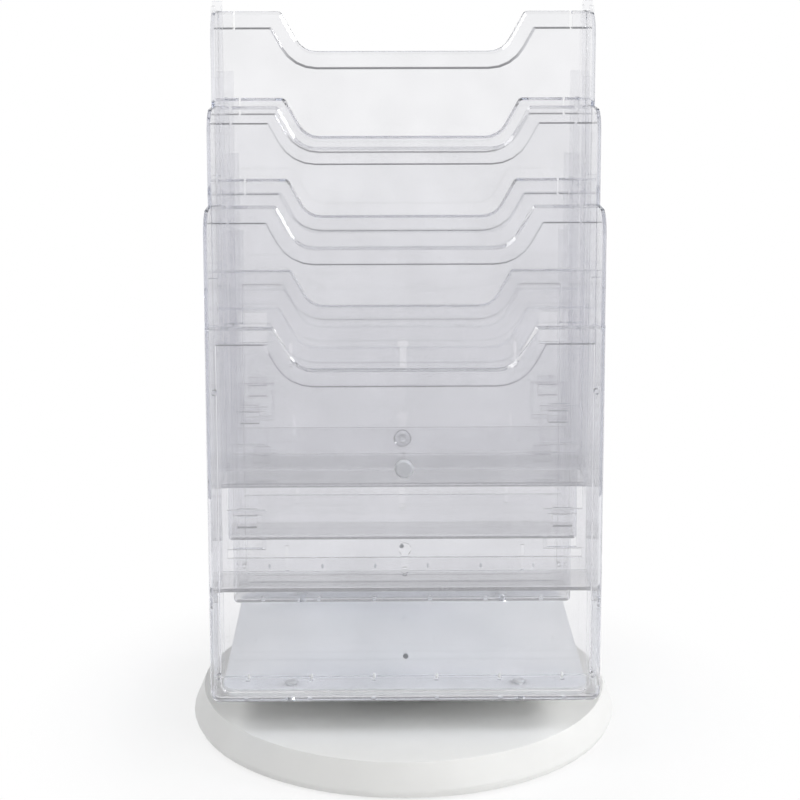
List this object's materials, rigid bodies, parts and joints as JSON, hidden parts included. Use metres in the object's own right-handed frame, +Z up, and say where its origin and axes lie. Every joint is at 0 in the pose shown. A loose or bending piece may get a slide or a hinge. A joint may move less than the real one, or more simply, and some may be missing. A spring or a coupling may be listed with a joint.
{
  "type": "rotating brochure holder",
  "caption": "Clear tabletop literature stand with stepped pockets back to back, turning on a round white base.",
  "frame": {"origin": "on the turning axis, at the table under the feet", "axes": "+Z up along the turning axis, -Y towards the front pockets, +X to the right when seen from the front"},
  "size_m": [0.275, 0.275, 0.464],
  "materials": {
    "clear_polystyrene": "water-clear moulded, polished",
    "white_polystyrene": "white moulded, satin",
    "bearing_steel": "bright, ground",
    "zinc_plated_steel": "zinc plated",
    "nylon": "natural nylon, satin",
    "rubber": "matt black"
  },
  "bodies": {
    "base": {"base_disc": "white_polystyrene", "foot_1": "rubber", "foot_2": "rubber", "foot_3": "rubber", "foot_4": "rubber", "lower_race": "bearing_steel", "pivot_bolt": "zinc_plated_steel", "pivot_washer": "zinc_plated_steel", "pivot_nut": "zinc_plated_steel"},
    "ball_cage": {"ball_cage": "nylon", "ball_01": "bearing_steel", "ball_02": "bearing_steel", "ball_03": "bearing_steel", "ball_04": "bearing_steel", "ball_05": "bearing_steel", "ball_06": "bearing_steel", "ball_07": "bearing_steel", "ball_08": "bearing_steel", "ball_09": "bearing_steel", "ball_10": "bearing_steel", "ball_11": "bearing_steel", "ball_12": "bearing_steel"},
    "carousel": {"upper_race": "bearing_steel", "hub": "white_polystyrene", "carrier_plate": "white_polystyrene", "hub_screw_1": "zinc_plated_steel", "hub_screw_2": "zinc_plated_steel", "hub_screw_3": "zinc_plated_steel", "hub_screw_4": "zinc_plated_steel", "carrier_rivet_1": "clear_polystyrene", "carrier_rivet_2": "clear_polystyrene", "carrier_rivet_3": "clear_polystyrene", "carrier_rivet_4": "clear_polystyrene", "front_upper_tray": "clear_polystyrene", "front_middle_tray": "clear_polystyrene", "front_lower_tray": "clear_polystyrene", "front_panel": "clear_polystyrene", "front_pocket_rivet": "clear_polystyrene", "rear_upper_tray": "clear_polystyrene", "rear_middle_tray": "clear_polystyrene", "rear_lower_tray": "clear_polystyrene", "rear_panel": "clear_polystyrene", "rear_pocket_rivet": "clear_polystyrene", "right_joining_strip": "clear_polystyrene", "left_joining_strip": "clear_polystyrene"}
  },
  "joints": [
    {"name": "carousel_spin", "type": "hinge", "parent": "base", "child": "carousel", "pos_m": [0, 0, 0.027], "axis": [0, 0, 1], "continuous": true},
    {"name": "cage_spin", "type": "hinge", "parent": "base", "child": "ball_cage", "pos_m": [0, 0, 0.027], "axis": [0, 0, 1], "continuous": true}
  ],
  "couplings": [
    {"joint": "cage_spin", "follows": "carousel_spin", "ratio": 0.5}
  ]
}
